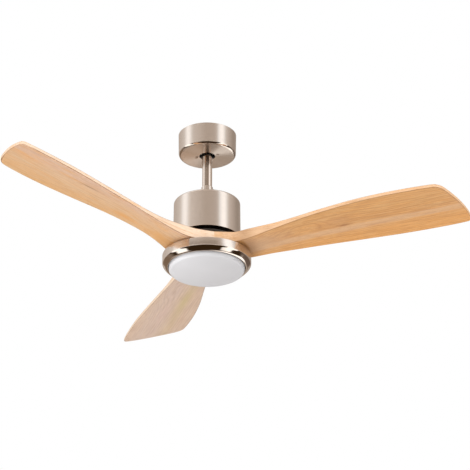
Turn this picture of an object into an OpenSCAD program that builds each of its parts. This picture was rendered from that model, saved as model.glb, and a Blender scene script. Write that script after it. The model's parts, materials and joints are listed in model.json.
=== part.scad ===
// Three-blade ceiling fan with a round light, hung from a ball joint in a drum canopy.
// Origin: centre of the ceiling plane. +Z up, so the whole fan hangs below z = 0. Millimetres.

/* [Canopy] */
// Diameter of the canopy at the ceiling
canopy_d = 146; // [140:1:150]
// Height of the canopy
canopy_h = 58; // [57:0.5:60]
// Radius of the rounded lower edge
canopy_edge_r = 7; // [4:0.5:7]
// Diameter of the hole that the rod swings in
canopy_hole_d = 40; // [39:0.5:41]

/* [Ball joint] */
// Depth of the ball's centre below the ceiling
ball_drop = 29; // [28.5:0.1:29.5]
// Diameter of the hanger ball
ball_d = 48; // [47:0.5:48.5]

/* [Rod] */
// Outer diameter of the downrod
rod_d = 25; // [24:0.1:25]
// Depth of the rod's lower end
rod_end = 178; // [176:1:178]

/* [Motor] */
// Diameter of the motor housing
housing_d = 168; // [164:1:172]
// Depth of the housing's flat top
housing_top = 192; // [191:0.5:192]
// Depth of the housing's open lower edge
housing_bottom = 293; // [290:1:294]
// Radius of the rounded upper edge
housing_edge_r = 5; // [3:0.5:7]
// Diameter of the hollow centre shaft
shaft_d = 17; // [17:0.5:17]

/* [Blades] */
// Radius swept by the blade tips
tip_reach = 658; // [640:1:670]
// Depth of the flat top of the wooden hub
wood_top = 307; // [306.5:0.5:307]
// Depth of the flat underside of the wooden hub
wood_bottom = 335; // [334:0.5:335.5]

/* [Light] */
// Outer diameter of the light's metal ring
ring_d = 221; // [219:1:224]
// Depth of the ring's upper edge
ring_top = 339; // [339:0.5:340]
// Depth of the ring's lowest edge
ring_bottom = 371; // [370.5:0.5:371.5]
// Radius of the roundings above and below the ring's sloped face
ring_round_r = 8; // [7.5:0.5:8.5]
// Depth of the lowest point of the lens
lens_bottom = 383; // [382:0.5:385]

/* [Hidden] */
$fn = 72;

nickel = [0.75, 0.69, 0.63];
steel = [0.72, 0.73, 0.75];
black_metal = [0.10, 0.09, 0.08];
pale_wood = [0.86, 0.70, 0.50];
opal = [0.90, 0.90, 0.91];
eps = 0.01;

// Canopy and ceiling bracket
canopy_wall = 1;
canopy_draft = 0.8;
plate_t = 2.5;
plate_w = 44;
plate_l = 132;
slot_w = 6;
slot_l = 16;
slot_pitch = 100;
wire_hole_r = 7;
wire_hole_y = 20;
leg_w = 24;
leg_t = 3;
leg_y = 31.5;
flange_top = 54;
flange_r = 36;
flange_hole_r = 21;
canopy_screw_x = 28;
screw_m4_r = 2;
ear_l = 36;
ear_w = 24;
earth_x = 17;
earth_y = -26;

// Ball joint: ball, nylon liner and seat share one centre
liner_gap = 0.1;
liner_t = 2;
liner_top = 6.5;
liner_bottom = 17.2;
seat_r_out = 31;
seat_rim = 6;
seat_bottom = 54;
seat_mouth_r = 18.2;
ball_top = 13;
ball_low_cut = 12.5;
pin_d = 6;
ball_pin_l = 42;
peg_r = 2;
peg_in = 21;
groove_w = 6;
set_screw_r = 2.5;
set_screw_rise = 6.5;

// Rod and coupler
rod_top = 9;
rod_wall = 1.8;
coupler_top = 147;
coupler_r = 14.5;
coupler_end = 198.3;
coupler_flange_r = 32;
coupler_flange_t = 5;
rod_pin_z = 165;
rod_pin_l = 38;
clip_inset = 2.2;
lead_way_r = 7;
coupler_screw_r = 2;
coupler_screw_rise = 9;

// Motor
housing_wall = 1.2;
housing_draft = 0.8;
housing_screw_r = 24;
shaft_top = 184;
shaft_end = 351;
shaft_bore_r = 5.5;
board_z = 203;
board_t = 1.6;
stator_z0 = 236;
stator_z1 = 264;
stator_r = 51;
teeth = 12;
poles = 14;
magnet_r0 = 52;
magnet_r1 = 56;
iron_r1 = 60;
casing_r = 64;
casing_boss_place = 68;
casing_boss_r = 5;
casing_boss_h = 8;
casing_bolt_r = 1.8;
casing_top = 211;
casing_split = 250;
casing_floor = 275;
casing_bore_r = 11;
upper_bearing_z = 214;
lower_bearing_z = 277;
bearing_h = 12;
bearing_r = 20;
race_r = 14.25;
bearing_ball_r = 3.1;
bearing_ball_count = 8;
bearing_relief_r = 16.2;
bearing_relief = 0.5;
hub_neck_r = 40;
hub_flange_r = 78;
hub_flange_t = 6;
pad_t = 1;

// Wooden blades, mitred together round the shaft
blade_count = 3;
wood_hole_r = 24;
mitre_r = 80;
clamp_t = 1.8;
clamp_r = 72;
blade_screw_places = [[62, 0], [40, 16], [40, -16]];
blade_screw_r = 2.5;

// Control stations along one blade, hub to tip. The low edge leads and the raised edge trails.
// Each row: distance from the fan's axis, low edge y and depth, raised edge y and depth,
// and thickness.
stations = [
    [40, 69.3, 335, -69.3, 335, 27.8],
    [85, 50, 335, -52.5, 334.5, 27.5],
    [120, 44, 335, -46.5, 327, 27.2],
    [160, 44, 332, -46.5, 316.5, 21],
    [200, 47, 329, -50, 308, 15.5],
    [250, 51.5, 325, -56.5, 299, 12],
    [300, 56.5, 321, -63.5, 292, 11],
    [400, 66, 314, -76, 282, 10.5],
    [500, 74, 307, -81, 275, 10],
    [600, 76.5, 300, -76, 268.5, 9.5],
    [660, 75, 295, -62, 264, 9]];
tip_slant = 51;
tip_power = 1.9;
low_corner_r = 11;
raised_corner_r = 16;
half_chord = 75;
rows_hub = 8;
rows_blade = 30;
columns = 12;
hole_share = 0.32;
mitre_angle = 180 / blade_count;
hub_x = stations[1][0];

// Light
mount_plate_top = 340.2;
mount_plate_t = 2;
mount_plate_r = 100;
ring_wall = 1.2;
ring_shelf_r = 80;
ring_screw_place = 90;
ring_screw_r = 1.9;
ring_slope_run = 5;
mouth_r = 96.3;
seat_rise = 355;
led_board_z = 354;
led_board_r = 80;
led_board_t = 1.6;
led_rings = [[24, 8], [44, 16], [64, 24]];
lens_rim_r = 93.4;
lens_r = 94.2;
lens_top = 357;
lens_wall = 1.8;
lens_step_top = 365;
lens_step_bottom = 367.5;
lens_shoulder = 374;
lens_edge_r = 7;
lug_z0 = 360.2;
lug_z1 = 362.6;
lug_r = 96;
lug_angle = 20;
keeper_gap = 0.3;
keeper_t = 1;

// ---- helpers ----

// A ring between two depths below the ceiling.
module ring_between(r_out, r_in, top, bottom) {
    difference() {
        translate([0, 0, -bottom]) cylinder(r = r_out, h = bottom - top);
        if (r_in > 0) translate([0, 0, -bottom - 1]) cylinder(r = r_in, h = bottom - top + 2);
    }
}

// A solid disc or post between two depths.
module post(r, top, bottom) {
    translate([0, 0, -bottom]) cylinder(r = r, h = bottom - top);
}

// Copies children to equally spaced angles.
module around(count, first = 0) {
    for (i = [0:count - 1]) rotate([0, 0, first + 360 * i / count]) children();
}

// A drum of revolution with one rounded edge, open or closed by its caller.
// r_flat: radius at the far end, r_edge: radius where the rounding starts.
module drum(r_flat, r_edge, h, edge_r) {
    rotate_extrude() {
        polygon([[0, 0], [r_flat, 0], [r_edge, h - edge_r], [0, h - edge_r]]);
        polygon([[0, 0], [r_edge - edge_r, 0], [r_edge - edge_r, h], [0, h]]);
        translate([r_edge - edge_r, h - edge_r]) intersection() {
            circle(r = edge_r);
            square(edge_r);
        }
    }
}

// Copies children to both sides of the fan, along X.
module both_sides(x) {
    for (side = [-1, 1]) translate([side * x, 0, 0]) children();
}

// A slot through a plate, its length along Y.
module slot(width, length, depth) {
    cube([width, length - width, depth], center = true);
    for (s = [-1, 1]) translate([0, s * (length - width) / 2, 0])
        cylinder(d = width, h = depth, center = true);
}

// ---- canopy group, fixed to the ceiling ----

module ceiling_bracket() {
    color(steel) difference() {
        union() {
            translate([-plate_w / 2, -plate_l / 2, -plate_t]) cube([plate_w, plate_l, plate_t]);
            translate([-plate_w / 2 - ear_l, -ear_w / 2, -plate_t]) cube([ear_l + 1, ear_w, plate_t]);
            for (side = [-1, 1])
                translate([-leg_w / 2, side * (leg_y + leg_t / 2) - leg_t / 2, -flange_top])
                    cube([leg_w, leg_t, flange_top - plate_t + 1]);
            ring_between(flange_r, flange_hole_r, flange_top, canopy_h - canopy_wall);
        }
        for (side = [-1, 1]) translate([0, side * slot_pitch / 2, -plate_t / 2])
            slot(slot_w, slot_l, plate_t + 2);
        translate([0, wire_hole_y, 0]) post(wire_hole_r, -1, plate_t + 1);
        translate([earth_x, earth_y, 0]) post(screw_m4_r, -1, plate_t + 1);
        both_sides(canopy_screw_x) post(screw_m4_r, flange_top - 1, canopy_h);
    }
}

module ball_seat() {
    cup_r = ball_d / 2 + 2 * liner_gap + liner_t;
    color([0.16, 0.16, 0.17]) difference() {
        post(seat_r_out, ball_drop - seat_rim, seat_bottom);
        translate([0, 0, -ball_drop]) sphere(r = cup_r);
        post(cup_r, ball_drop - 2 * seat_rim, ball_drop);
        post(seat_mouth_r, ball_drop, seat_bottom + 1);
        translate([0, 0, -ball_drop]) rotate([0, 90, 0]) cylinder(r = peg_r, h = 2 * seat_r_out);
    }
}

module registration_pin() {
    color(steel) translate([peg_in, 0, -ball_drop]) rotate([0, 90, 0])
        cylinder(r = peg_r, h = seat_r_out - peg_in);
}

module earth_screw() {
    color([0.2, 0.5, 0.25]) translate([earth_x, earth_y, 0]) {
        post(screw_m4_r, 0.5, plate_t + 0.2);
        post(4, plate_t, plate_t + 2.4);
    }
}

module terminal_block() {
    block = [30, 18, 14];
    pole_pitch = 9;
    left = -plate_w / 2 - ear_l + 2;
    bottom = -plate_t - block[2];
    color([0.90, 0.89, 0.85]) difference() {
        translate([left, -block[1] / 2, bottom]) cube(block);
        for (pole = [-1:1]) translate([left + block[0] / 2 + pole * pole_pitch, 0, bottom - 1]) {
            cylinder(r = 2.6, h = 6);
            translate([0, 0, block[2] / 2]) rotate([90, 0, 0])
                cylinder(r = 2, h = block[1] + 2, center = true);
        }
    }
}

module receiver_box() {
    color([0.13, 0.13, 0.14]) translate([40, -27, -canopy_h + canopy_wall]) {
        cube([20, 54, 20]);
        translate([2, -1.2, 3]) cube([16, 56.4, 14]);
    }
}

module canopy() {
    r_top = canopy_d / 2;
    r_low = r_top - canopy_draft;
    wall = canopy_wall;
    color(nickel) difference() {
        mirror([0, 0, 1]) drum(r_top, r_low, canopy_h, canopy_edge_r);
        translate([0, 0, eps]) mirror([0, 0, 1])
            drum(r_top - wall, r_low - wall, canopy_h - wall + eps, canopy_edge_r - wall);
        post(canopy_hole_d / 2, canopy_h - 3, canopy_h + 1);
        both_sides(canopy_screw_x) post(screw_m4_r + 0.2, canopy_h - 3, canopy_h + 1);
    }
}

module canopy_screws() {
    head_r = 3.6;
    head_h = 1.8;
    slot_width = 0.9;
    color(nickel) both_sides(canopy_screw_x) {
        post(screw_m4_r, flange_top + 0.5, canopy_h + 0.2);
        difference() {
            post(head_r, canopy_h, canopy_h + head_h);
            translate([-head_r - 1, -slot_width / 2, -canopy_h - head_h - 1])
                cube([2 * head_r + 2, slot_width, 1.8]);
        }
    }
}

// ---- ball joint ----

module seat_liner() {
    r_in = ball_d / 2 + liner_gap;
    r_out = r_in + liner_t;
    color([0.93, 0.93, 0.90]) difference() {
        translate([0, 0, -ball_drop]) sphere(r = r_out);
        translate([0, 0, -ball_drop]) sphere(r = r_in);
        post(r_out + 1, ball_drop - r_out - 1, ball_drop + liner_top);
        post(r_out + 1, ball_drop + liner_bottom, ball_drop + r_out + 1);
    }
}

module hanger_ball() {
    r = ball_d / 2;
    flat = sqrt(r * r - ball_low_cut * ball_low_cut) - 1.5;
    color(black_metal) difference() {
        translate([0, 0, -ball_drop]) sphere(r = r);
        post(r + 1, ball_drop - r - 1, ball_drop - ball_top);
        post(r + 1, ball_drop + flat, ball_drop + r + 1);
        post(rod_d / 2, 0, 2 * ball_drop);
        translate([peg_in - 2, -groove_w / 2, -ball_drop - 9]) cube([10, groove_w, 30]);
        translate([0, 0, -ball_drop]) rotate([90, 0, 0]) cylinder(d = pin_d, h = 60, center = true);
        translate([0, 0, set_screw_rise - ball_drop]) rotate([0, -90, 0])
            cylinder(r = set_screw_r, h = 40);
    }
}

module ball_pin() {
    color(steel) translate([0, 0, -ball_drop]) rotate([90, 0, 0])
        cylinder(d = pin_d, h = ball_pin_l, center = true);
}

module ball_set_screw() {
    length = 9;
    color([0.25, 0.25, 0.27]) translate([-rod_d / 2, 0, set_screw_rise - ball_drop])
        rotate([0, -90, 0]) difference() {
            cylinder(r = set_screw_r, h = length);
            translate([0, 0, length - 2.5]) cylinder(r = 1.4, h = 4, $fn = 6);
        }
}

// ---- rod and coupler ----

module downrod() {
    color(nickel) difference() {
        ring_between(rod_d / 2, rod_d / 2 - rod_wall, rod_top, rod_end);
        for (z = [ball_drop, rod_pin_z]) translate([0, 0, -z]) rotate([90, 0, 0])
            cylinder(d = pin_d, h = 40, center = true);
    }
}

module motor_coupler() {
    color(nickel) difference() {
        union() {
            post(coupler_r, coupler_top, coupler_end);
            post(coupler_flange_r, coupler_end - coupler_flange_t, coupler_end);
        }
        post(rod_d / 2, coupler_top - 1, rod_end + 1);
        post(lead_way_r, rod_end, shaft_top + 1);
        post(shaft_d / 2, shaft_top, coupler_end + 1);
        translate([0, 0, -rod_pin_z]) rotate([90, 0, 0]) cylinder(d = pin_d, h = 40, center = true);
        translate([0, 0, coupler_screw_rise - rod_pin_z]) rotate([0, 90, 0])
            cylinder(r = coupler_screw_r, h = 40, center = true);
        around(3, 30) translate([housing_screw_r, 0, 0]) post(1.8, housing_top, coupler_end + 1);
        around(3, 90) translate([housing_screw_r, 0, 0]) post(1.4, coupler_end - 3, coupler_end + 1);
    }
}

module rod_pin() {
    color(steel) translate([0, 0, -rod_pin_z]) rotate([90, 0, 0]) difference() {
        cylinder(d = pin_d, h = rod_pin_l, center = true);
        translate([0, 0, rod_pin_l / 2 - clip_inset]) rotate([0, 90, 0])
            cylinder(r = 0.9, h = 10, center = true);
    }
}

module pin_clip() {
    leg = 6;
    bow_x = 8;
    bow_r = 3.2;
    wire_r = 0.8;
    color([0.8, 0.8, 0.82]) translate([0, clip_inset - rod_pin_l / 2, -rod_pin_z]) {
        translate([-leg, 0, 0]) rotate([0, 90, 0]) cylinder(r = wire_r, h = leg + bow_x);
        translate([bow_x, 0, -bow_r]) rotate([90, 0, 0]) rotate([0, 0, 180])
            rotate_extrude(angle = 270) translate([bow_r, 0]) circle(r = wire_r);
    }
}

module coupler_set_screws() {
    length = 5;
    color([0.25, 0.25, 0.27]) for (turn = [0, 180]) rotate([0, 0, turn])
        translate([rod_d / 2, 0, coupler_screw_rise - rod_pin_z]) rotate([0, 90, 0]) difference() {
            cylinder(r = coupler_screw_r, h = length);
            translate([0, 0, length - 2]) cylinder(r = 1.1, h = 4, $fn = 6);
        }
}

module lead_connector() {
    ways = 4;
    pitch = 3.6;
    color([0.95, 0.95, 0.92]) difference() {
        translate([-8, -4, -rod_top - 2.5]) cube([16, 8, 6.5]);
        for (i = [0:ways - 1]) translate([(i - (ways - 1) / 2) * pitch, 0, -rod_top + 1])
            cube([2.2, 4.5, 8], center = true);
    }
}

// One insulated lead: a tube of level rings through the given centres.
module lead(points, r) {
    sides = 8;
    last = (len(points) - 1) * sides;
    verts = [for (p = points, k = [0:sides - 1])
        [p[0] + r * cos(360 * k / sides), p[1] + r * sin(360 * k / sides), -p[2]]];
    walls = [for (a = [0:sides:last - 1], k = [0:sides - 1]) let (next = (k + 1) % sides)
        [a + k, a + next, a + sides + next, a + sides + k]];
    ends = [[for (k = [sides - 1:-1:0]) k], [for (k = [0:sides - 1]) last + k]];
    polyhedron(points = verts, faces = concat(walls, ends), convexity = 4);
}

module lead_bundle() {
    inks = [[0.55, 0.30, 0.15], [0.15, 0.30, 0.70], [0.85, 0.80, 0.25], [0.85, 0.85, 0.85]];
    for (i = [0:3]) {
        sx = i < 2 ? -1 : 1;
        sy = i % 2 == 0 ? -1 : 1;
        color(inks[i]) lead([
            [sx * 6.2, sy * 2.4, rod_top + 2.6], [sx * 6.2, sy * 2.6, 40], [sx * 6.2, sy * 3.2, 150],
            [sx * 6, sy * 3, 172], [sx * 3.6, sy * 2.6, 181], [sx * 2, sy * 2, 190],
            [sx * 2, sy * 2, 300], [sx * 2, sy * 2, shaft_end - 1]], 1.1);
    }
}

// ---- motor, fixed side ----

module motor_housing() {
    h = housing_bottom - housing_top;
    r = housing_d / 2;
    r_low = r - housing_draft;
    wall = housing_wall;
    color(nickel) difference() {
        translate([0, 0, -housing_bottom]) drum(r, r_low, h, housing_edge_r);
        translate([0, 0, -housing_bottom - eps])
            drum(r - wall, r_low - wall, h - wall + eps, housing_edge_r - wall);
        post(coupler_r + 0.4, housing_top - 1, housing_top + 3);
        around(3, 30) translate([housing_screw_r, 0, 0]) post(2.1, housing_top - 1, housing_top + 3);
    }
}

module housing_screws() {
    color(steel) around(3, 30) translate([housing_screw_r, 0, 0]) {
        post(1.8, housing_top - 0.2, coupler_end - 1);
        post(3.5, housing_top - 2.2, housing_top);
    }
}

module motor_shaft() {
    color([0.62, 0.62, 0.64]) ring_between(shaft_d / 2, shaft_bore_r, shaft_top, shaft_end);
}

module stator_core() {
    yoke_r = 27;
    tooth_w = 8;
    shoe_t = 3;
    shoe_gap = 2.4;
    h = stator_z1 - stator_z0;
    color([0.45, 0.46, 0.48]) difference() {
        union() {
            post(yoke_r, stator_z0, stator_z1);
            around(teeth) translate([yoke_r - 2, -tooth_w / 2, -stator_z1])
                cube([stator_r - yoke_r, tooth_w, h]);
            difference() {
                ring_between(stator_r, stator_r - shoe_t, stator_z0, stator_z1);
                around(teeth, 180 / teeth) translate([stator_r - 2 * shoe_t, -shoe_gap / 2, -stator_z1 - 1])
                    cube([4 * shoe_t, shoe_gap, h + 2]);
            }
        }
        post(shaft_d / 2, stator_z0 - 1, stator_z1 + 1);
    }
}

module stator_windings() {
    h = stator_z1 - stator_z0;
    coil = [17, 13.4, h + 12];
    place = 29;
    color([0.72, 0.40, 0.20]) around(teeth)
        translate([place, 0, -(stator_z0 + stator_z1) / 2]) difference() {
            translate([0, -coil[1] / 2, -coil[2] / 2]) cube(coil);
            translate([-1, -4, -h / 2]) cube([coil[0] + 2, 8, h]);
        }
}

module motor_board() {
    color([0.10, 0.38, 0.22]) {
        difference() {
            ring_between(60, 20, board_z, board_z + board_t);
            around(3, 90) translate([housing_screw_r, 0, 0]) post(1.5, board_z - 1, board_z + board_t + 1);
        }
        around(5, 15) translate([46, 0, 0]) post(5, board_z + board_t - 0.2, board_z + board_t + 4.5);
        around(4, 40) translate([31, -3, -board_z - board_t - 1.8]) cube([6, 6, 2]);
    }
}

module board_standoffs() {
    color([0.8, 0.72, 0.4]) around(3, 90) translate([housing_screw_r, 0, 0]) {
        ring_between(2.9, 1.4, coupler_end, board_z);
        post(1.4, coupler_end - 3, board_z + board_t);
        post(2.8, board_z + board_t, board_z + board_t + 1.4);
    }
}

module bearing_ring(r_out, r_in, z) {
    difference() {
        ring_between(r_out, r_in, z, z + bearing_h);
        translate([0, 0, -z - bearing_h / 2]) rotate_extrude()
            translate([race_r, 0]) circle(r = bearing_ball_r + 0.06);
    }
}

module bearing_inner_rings() {
    color([0.80, 0.81, 0.83]) for (z = [upper_bearing_z, lower_bearing_z]) bearing_ring(12, shaft_d / 2, z);
}

// ---- rotor ----

module bearing_outer_rings() {
    color([0.78, 0.79, 0.81]) for (z = [upper_bearing_z, lower_bearing_z]) bearing_ring(bearing_r, 16.5, z);
}

module bearing_balls() {
    color([0.9, 0.9, 0.92]) for (z = [upper_bearing_z, lower_bearing_z])
        around(bearing_ball_count) translate([race_r, 0, -z - bearing_h / 2]) sphere(r = bearing_ball_r);
}

// Six ears round the rotor casing, or the holes through them.
module casing_ears(r, top, bottom) {
    around(6) translate([casing_boss_place, 0, 0]) post(r, top, bottom);
}

module rotor_top_casing() {
    cap_bottom = upper_bearing_z + bearing_h + 1;
    vent_r = 6;
    vent_place = 42;
    color(black_metal) difference() {
        union() {
            ring_between(casing_r, casing_bore_r, casing_top, upper_bearing_z);
            ring_between(bearing_r + 4, bearing_r, upper_bearing_z - 1, cap_bottom);
            ring_between(casing_r, iron_r1, casing_top + 1, casing_split);
            casing_ears(casing_boss_r, casing_split - casing_boss_h, casing_split);
        }
        casing_ears(casing_bolt_r, casing_split - casing_boss_h - 1, casing_split + 1);
        around(8, 22.5) translate([vent_place, 0, 0]) post(vent_r, casing_top - 1, upper_bearing_z + 1);
        post(iron_r1, cap_bottom - 1, casing_split + 1);
        post(bearing_relief_r, upper_bearing_z - bearing_relief, upper_bearing_z + 1);
    }
}

module rotor_bottom_casing() {
    neck_in = hub_neck_r - 5;
    cap_top = lower_bearing_z + bearing_h;
    flange_bottom = wood_top - pad_t;
    color(black_metal) difference() {
        union() {
            ring_between(casing_r, iron_r1, casing_split, casing_floor + 1);
            casing_ears(casing_boss_r, casing_split, casing_split + casing_boss_h);
            ring_between(casing_r, bearing_r, casing_floor, casing_floor + 4);
            ring_between(bearing_r + 4, bearing_r, casing_floor + 1, cap_top);
            ring_between(bearing_r + 4, casing_bore_r, cap_top, cap_top + 2);
            ring_between(hub_neck_r, neck_in, casing_floor + 3, flange_bottom);
            ring_between(hub_flange_r, neck_in, flange_bottom - hub_flange_t, flange_bottom);
        }
        casing_ears(casing_bolt_r, casing_split - 1, casing_split + casing_boss_h + 1);
        post(iron_r1, casing_split - 1, casing_split + casing_boss_h + 2);
        post(bearing_relief_r, cap_top - 1, cap_top + bearing_relief);
        blade_screw_holes(blade_screw_r, wood_top - 12, wood_top + 1);
    }
}

module casing_screws() {
    head_z = casing_split + casing_boss_h;
    color(steel) {
        casing_ears(casing_bolt_r, casing_split - casing_boss_h + 1, head_z + 0.2);
        casing_ears(3.4, head_z, head_z + 2);
    }
}

module back_iron_ring() {
    color([0.35, 0.35, 0.36]) ring_between(iron_r1, magnet_r1, stator_z0, stator_z1);
}

module rotor_magnets() {
    span = 360 / poles - 3;
    color([0.30, 0.30, 0.33]) around(poles) translate([0, 0, -stator_z1 + 1])
        rotate_extrude(angle = span) translate([magnet_r0, 0])
            square([magnet_r1 - magnet_r0, stator_z1 - stator_z0 - 2]);
}

module hub_pad() {
    color([0.08, 0.08, 0.08]) difference() {
        ring_between(hub_flange_r - 2, wood_hole_r + 6, wood_top - pad_t, wood_top);
        blade_screw_holes(blade_screw_r + 0.3, wood_top - 5, wood_top + 5);
    }
}

module blade_screw_holes(r, top, bottom) {
    around(blade_count) for (p = blade_screw_places) translate([p[0], p[1], 0]) post(r, top, bottom);
}

// ---- blades ----

// Smooth curve through one column of the station table.
function station_at(x, i = 0) =
    i >= len(stations) - 2 || x < stations[i + 1][0] ? i : station_at(x, i + 1);
function station_slope(i, c) = let (a = max(i - 1, 0), b = min(i + 1, len(stations) - 1))
    (stations[b][c] - stations[a][c]) / (stations[b][0] - stations[a][0]);
function along(x, c) = let (i = station_at(x), p = stations[i], q = stations[i + 1],
        h = q[0] - p[0], t = (x - p[0]) / h)
    p[c] * (1 + 2 * t) * (1 - t) * (1 - t) + q[c] * t * t * (3 - 2 * t)
    + h * t * (1 - t) * ((1 - t) * station_slope(i, c) - t * station_slope(i + 1, c));

// Rounding of a tip corner, from 0 where it starts to the corner's radius at the edge.
function corner(v, r) = let (w = r / half_chord, q = max(0, (v - 1 + w) / w))
    r * (1 - sqrt(1 - min(1, q * q)));

// Distance of the tip edge from the axis. v runs from -1 on the raised edge to 1 on the low edge.
function tip_x(v) = tip_reach - tip_slant * pow((1 - v) / 2, tip_power)
    - corner(v, low_corner_r) - corner(-v, raised_corner_r);

// A point of the underside, as x, y and depth.
function under(x, v) = let (k = (1 + v) / 2)
    [x, along(x, 3) * (1 - k) + along(x, 1) * k, along(x, 4) * (1 - k) + along(x, 2) * k];

// The root follows the mitre lines at 60 degrees and the round hole for the shaft.
function root(v) = let (a = abs(v), on_mitre = max(0, a - hole_share) / (1 - hole_share),
        rho = wood_hole_r + (mitre_r - wood_hole_r) * on_mitre,
        turn = mitre_angle * (a < hole_share ? v / hole_share : sign(v)))
    [rho * cos(turn), rho * sin(turn), wood_bottom];

// Between the root and hub_x the plan outline flares as the station table says.
function hub_point(w, v) = let (p = root(v), q = under(hub_x, v), c = v > 0 ? 1 : 3,
        x = stations[0][0] + (hub_x - stations[0][0]) * w,
        straight = stations[0][c] * (1 - w) + stations[1][c] * w)
    p * (1 - w) + q * w + [0, abs(v) * (along(x, c) - straight), 0];
function blade_point(s, v) =
    under(hub_x + (tip_reach - hub_x) * s - (tip_reach - tip_x(v)) * pow(s, 8), v);

// Rows bunch up towards the tip, where the outline turns.
function row(i, v) = i <= rows_hub ? hub_point(i / rows_hub, v)
    : blade_point(1 - pow(1 - (i - rows_hub) / rows_blade, 1.35), v);
function column_v(j) = sin(90 * (2 * j / columns - 1));
function wood_at(x) = x < stations[0][0] ? stations[0][5] : along(x, 5);

// Two triangles for a four-cornered patch.
function patch(a, b, c, d) = [[a, b, c], [a, c, d]];

module blade() {
    n = rows_hub + rows_blade;
    m = columns + 1;
    top = (n + 1) * m;
    end = n * m;
    low = [for (i = [0:n], j = [0:columns]) let (p = row(i, column_v(j))) [p[0], p[1], -p[2]]];
    high = [for (p = low) [p[0], p[1], p[2] + wood_at(p[0])]];
    faces = concat(
        [for (a = [0:m:end - 1], j = [0:columns - 1])
            each patch(a + j, a + m + j, a + m + j + 1, a + j + 1)],
        [for (a = [top:m:top + end - 1], j = [0:columns - 1])
            each patch(a + j, a + j + 1, a + m + j + 1, a + m + j)],
        [for (a = [0:m:end - 1]) each patch(a, a + top, a + m + top, a + m)],
        [for (a = [columns:m:end - 1]) each patch(a, a + m, a + m + top, a + top)],
        [for (j = [0:columns - 1]) each patch(j, j + 1, j + 1 + top, j + top)],
        [for (j = [end:end + columns - 1]) each patch(j, j + top, j + 1 + top, j + 1)]);
    color(pale_wood) difference() {
        polyhedron(points = concat(low, high), faces = faces, convexity = 6);
        for (p = blade_screw_places) translate([p[0], p[1], 0])
            post(blade_screw_r + 0.3, wood_top - 5, wood_bottom + 5);
    }
}

module blade_1() {
    blade();
}

module blade_2() {
    rotate([0, 0, 120]) blade();
}

module blade_3() {
    rotate([0, 0, 240]) blade();
}

module blade_clamp_plate() {
    color(steel) difference() {
        ring_between(clamp_r, wood_hole_r, wood_bottom, wood_bottom + clamp_t);
        blade_screw_holes(blade_screw_r + 0.3, wood_bottom - 1, wood_bottom + clamp_t + 1);
    }
}

module blade_screws() {
    head_h = 1.3;
    head_top = wood_bottom + clamp_t;
    color([0.35, 0.35, 0.37]) around(blade_count) for (p = blade_screw_places)
        translate([p[0], p[1], 0]) {
            post(blade_screw_r, wood_top - pad_t - hub_flange_t + 0.5, head_top + 0.1);
            translate([0, 0, -head_top - head_h]) cylinder(r1 = 3.2, r2 = 4.4, h = head_h);
        }
}

// ---- light kit ----

module light_mount_plate() {
    bottom = mount_plate_top + mount_plate_t;
    color(steel) difference() {
        post(mount_plate_r, mount_plate_top, bottom);
        post(shaft_d / 2, mount_plate_top - 1, bottom + 1);
        around(3, 30) translate([ring_screw_place, 0, 0])
            post(ring_screw_r + 0.1, mount_plate_top - 1, bottom + 1);
    }
}

module shaft_nut() {
    top = mount_plate_top + mount_plate_t;
    color(steel) difference() {
        union() {
            post(16, top, top + 1.2);
            translate([0, 0, -top - 8]) cylinder(r = 14, h = 7, $fn = 6);
        }
        post(shaft_d / 2, top - 1, top + 9);
    }
}

// Half-section of the light ring, filled to the axis and set in from its outside.
// A straight wall, a rounding, a 45 degree slope and a second rounding.
module ring_section(inset) {
    r = ring_d / 2;
    rounding = ring_round_r - inset;
    upper = [r - ring_round_r, ring_round_r + ring_slope_run - ring_bottom];
    lower = upper - [ring_slope_run, ring_slope_run];
    diagonal = rounding * [cos(45), -sin(45)];
    top = -ring_top - inset;
    bottom = inset - ring_bottom;
    polygon([[0, top], [r - inset, top], [r - inset, upper[1]], upper + diagonal, lower + diagonal,
        [lower[0], bottom], [0, bottom]]);
    translate(upper) circle(r = rounding);
    translate(lower) circle(r = rounding);
}

module light_ring() {
    color(nickel) {
        difference() {
            rotate_extrude() ring_section(0);
            rotate_extrude() ring_section(ring_wall);
            post(mouth_r, ring_top + ring_wall - eps, ring_bottom + 1);
            post(ring_shelf_r, ring_top - 1, ring_bottom);
            around(3, 30) translate([ring_screw_place, 0, 0])
                post(ring_screw_r, ring_top - 1, ring_top + ring_wall + 1);
        }
        ring_between(mouth_r + ring_wall, mouth_r, seat_rise, ring_bottom - 0.5);
    }
}

module ring_screws() {
    head_z = mount_plate_top + mount_plate_t;
    color(steel) around(3, 30) translate([ring_screw_place, 0, 0]) {
        post(ring_screw_r, ring_top + 0.2, head_z + 0.2);
        post(3.6, head_z, head_z + 2.2);
    }
}

module led_driver() {
    top = mount_plate_top + mount_plate_t;
    color([0.92, 0.92, 0.90]) translate([22, -20, -top - 9.5]) {
        cube([26, 40, 9.5]);
        translate([5, -4, 5.5]) cube([16, 48, 4]);
    }
}

module led_standoffs() {
    color([0.8, 0.72, 0.4]) around(4, 45) translate([72, 0, 0])
        post(3, mount_plate_top + mount_plate_t, led_board_z);
}

module led_board() {
    color([0.93, 0.94, 0.95]) ring_between(led_board_r, 6, led_board_z, led_board_z + led_board_t);
}

module leds() {
    z = led_board_z + led_board_t;
    color([0.95, 0.85, 0.40]) for (ring = led_rings) around(ring[1])
        translate([ring[0] - 1.5, -1.5, -z - 0.8]) cube([3, 3, 0.8]);
}

module lens_keepers() {
    z = lug_z1 + keeper_gap;
    inner = lens_rim_r + keeper_gap;
    color(steel) around(3, 4) translate([0, 0, -z - keeper_t]) rotate_extrude(angle = lug_angle - 8)
        translate([inner, 0]) square([mouth_r - inner, keeper_t]);
}

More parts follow.
